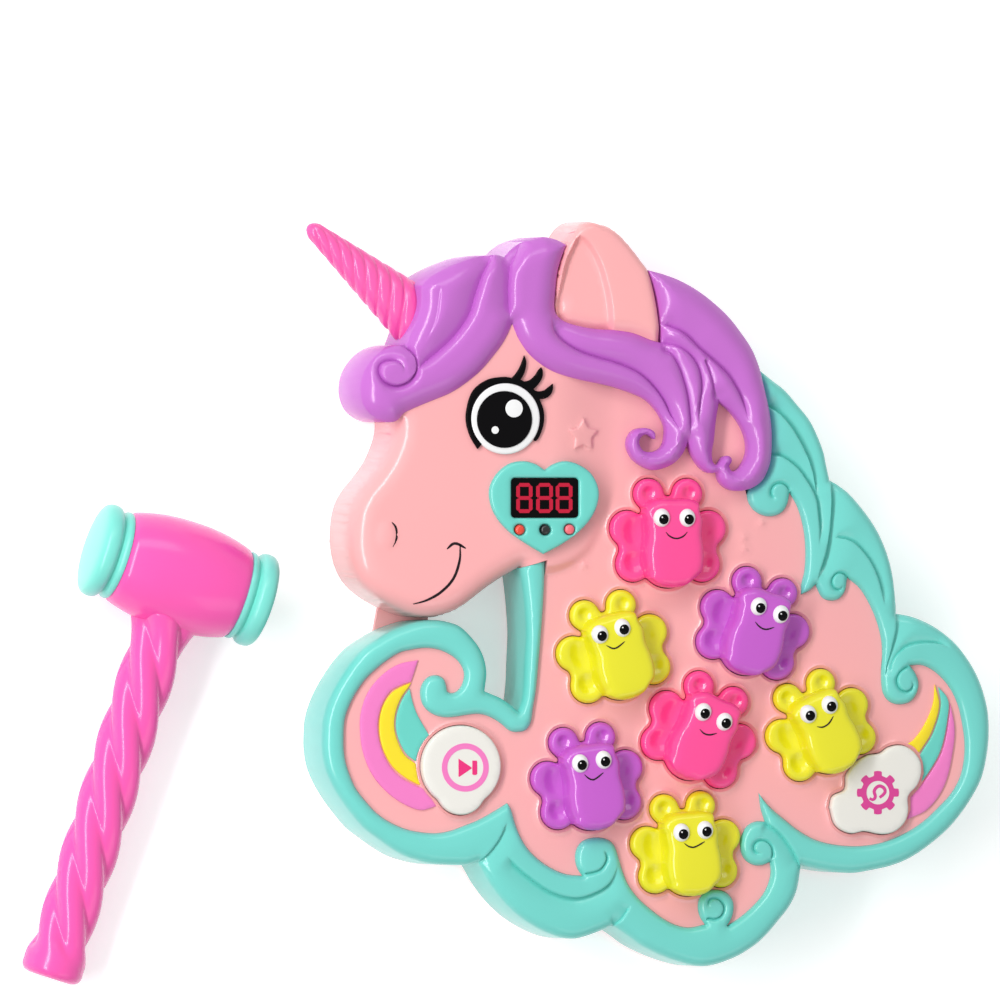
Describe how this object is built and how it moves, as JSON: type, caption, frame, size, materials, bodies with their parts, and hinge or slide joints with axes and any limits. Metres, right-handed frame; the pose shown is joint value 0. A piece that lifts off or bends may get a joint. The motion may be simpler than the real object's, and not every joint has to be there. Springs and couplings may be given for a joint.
{
  "type": "mole pounding game",
  "caption": "Handheld whack-a-button game in the shape of a unicorn's head, with sprung smiling bug buttons on its neck, a heart display and a separate two-faced mallet.",
  "frame": {"origin": "on the back cover's flat face, in the middle of the console's width and a little above the middle of its length", "axes": "+X to the right and +Y up the console as it is played, +Z out of its front, where the bug buttons are"},
  "size_m": [0.4428, 0.3434, 0.0547],
  "materials": {
    "pink_shell": "glossy moulded",
    "aqua_shell": "glossy moulded",
    "purple_shell": "glossy moulded",
    "hot_pink_plastic": "glossy moulded",
    "bug_pink": "glossy moulded",
    "bug_yellow": "glossy moulded",
    "bug_purple": "glossy moulded",
    "off_white": "glossy moulded",
    "black_plastic": "glossy moulded",
    "board_green": "solder-masked board",
    "steel": "plated",
    "lens_red": "clear tinted lens",
    "smoked_window": "smoked clear window"
  },
  "bodies": {
    "console": {"back_cover": "pink_shell", "front_shell": "pink_shell", "mane_frame": "aqua_shell", "hair_shell": "purple_shell", "horn": "hot_pink_plastic", "eye_white": "off_white", "eye_iris": "black_plastic", "eyelashes": "black_plastic", "heart_bezel": "aqua_shell", "display_window": "smoked_window", "display_module": "black_plastic", "led_1": "lens_red", "led_2": "lens_red", "led_3": "lens_red", "rainbow_left": "bug_yellow", "rainbow_right": "bug_yellow", "key_board": "board_green", "speaker": "black_plastic", "pink_spring_1": "steel", "pink_spring_2": "steel", "yellow_spring_1": "steel", "yellow_spring_2": "steel", "yellow_spring_3": "steel", "purple_spring_1": "steel", "purple_spring_2": "steel", "battery_cell_1": "steel", "battery_cell_2": "steel", "battery_cell_3": "steel"},
    "pink_bug_1": {"pink_bug_1": "bug_pink", "pink_bug_1_left_eye": "off_white", "pink_bug_1_right_eye": "off_white"},
    "pink_bug_2": {"pink_bug_2": "bug_pink", "pink_bug_2_left_eye": "off_white", "pink_bug_2_right_eye": "off_white"},
    "yellow_bug_1": {"yellow_bug_1": "bug_yellow", "yellow_bug_1_left_eye": "off_white", "yellow_bug_1_right_eye": "off_white"},
    "yellow_bug_2": {"yellow_bug_2": "bug_yellow", "yellow_bug_2_left_eye": "off_white", "yellow_bug_2_right_eye": "off_white"},
    "yellow_bug_3": {"yellow_bug_3": "bug_yellow", "yellow_bug_3_left_eye": "off_white", "yellow_bug_3_right_eye": "off_white"},
    "purple_bug_1": {"purple_bug_1": "bug_purple", "purple_bug_1_left_eye": "off_white", "purple_bug_1_right_eye": "off_white"},
    "purple_bug_2": {"purple_bug_2": "bug_purple", "purple_bug_2_left_eye": "off_white", "purple_bug_2_right_eye": "off_white"},
    "play_button": {"play_button": "off_white"},
    "settings_button": {"settings_button": "off_white"},
    "power_switch": {"power_switch": "black_plastic"},
    "battery_door": {"battery_door": "pink_shell", "battery_door_screw": "steel"},
    "mallet": {"mallet_upper_half": "hot_pink_plastic", "mallet_lower_half": "hot_pink_plastic", "left_striker": "aqua_shell", "right_striker": "aqua_shell"}
  },
  "joints": [
    {"name": "pink_bug_1_press", "type": "slide", "parent": "console", "child": "pink_bug_1", "axis": [0, 0, -1], "range_m": [0, 0.005], "stiffness_N_per_m": 300, "springref_m": -0.004, "deforming": ["pink_spring_1"]},
    {"name": "pink_bug_2_press", "type": "slide", "parent": "console", "child": "pink_bug_2", "axis": [0, 0, -1], "range_m": [0, 0.005], "stiffness_N_per_m": 300, "springref_m": -0.004, "deforming": ["pink_spring_2"]},
    {"name": "yellow_bug_1_press", "type": "slide", "parent": "console", "child": "yellow_bug_1", "axis": [0, 0, -1], "range_m": [0, 0.005], "stiffness_N_per_m": 300, "springref_m": -0.004, "deforming": ["yellow_spring_1"]},
    {"name": "yellow_bug_2_press", "type": "slide", "parent": "console", "child": "yellow_bug_2", "axis": [0, 0, -1], "range_m": [0, 0.005], "stiffness_N_per_m": 300, "springref_m": -0.004, "deforming": ["yellow_spring_2"]},
    {"name": "yellow_bug_3_press", "type": "slide", "parent": "console", "child": "yellow_bug_3", "axis": [0, 0, -1], "range_m": [0, 0.005], "stiffness_N_per_m": 300, "springref_m": -0.004, "deforming": ["yellow_spring_3"]},
    {"name": "purple_bug_1_press", "type": "slide", "parent": "console", "child": "purple_bug_1", "axis": [0, 0, -1], "range_m": [0, 0.005], "stiffness_N_per_m": 300, "springref_m": -0.004, "deforming": ["purple_spring_1"]},
    {"name": "purple_bug_2_press", "type": "slide", "parent": "console", "child": "purple_bug_2", "axis": [0, 0, -1], "range_m": [0, 0.005], "stiffness_N_per_m": 300, "springref_m": -0.004, "deforming": ["purple_spring_2"]},
    {"name": "play_press", "type": "slide", "parent": "console", "child": "play_button", "axis": [0, 0, -1], "range_m": [0, 0.0025], "stiffness_N_per_m": 400, "springref_m": -0.002},
    {"name": "settings_press", "type": "slide", "parent": "console", "child": "settings_button", "axis": [0, 0, -1], "range_m": [0, 0.0025], "stiffness_N_per_m": 400, "springref_m": -0.002},
    {"name": "power_slide", "type": "slide", "parent": "console", "child": "power_switch", "axis": [1, 0, 0], "range_m": [-0.002, 0.002]},
    {"name": "battery_door_lift", "type": "slide", "parent": "console", "child": "battery_door", "axis": [0, 0, -1], "range_m": [0, 0.03]},
    {"name": "mallet_lift", "type": "slide", "parent": "console", "child": "mallet", "axis": [0, 0, 1], "range_m": [0, 0.15]}
  ]
}
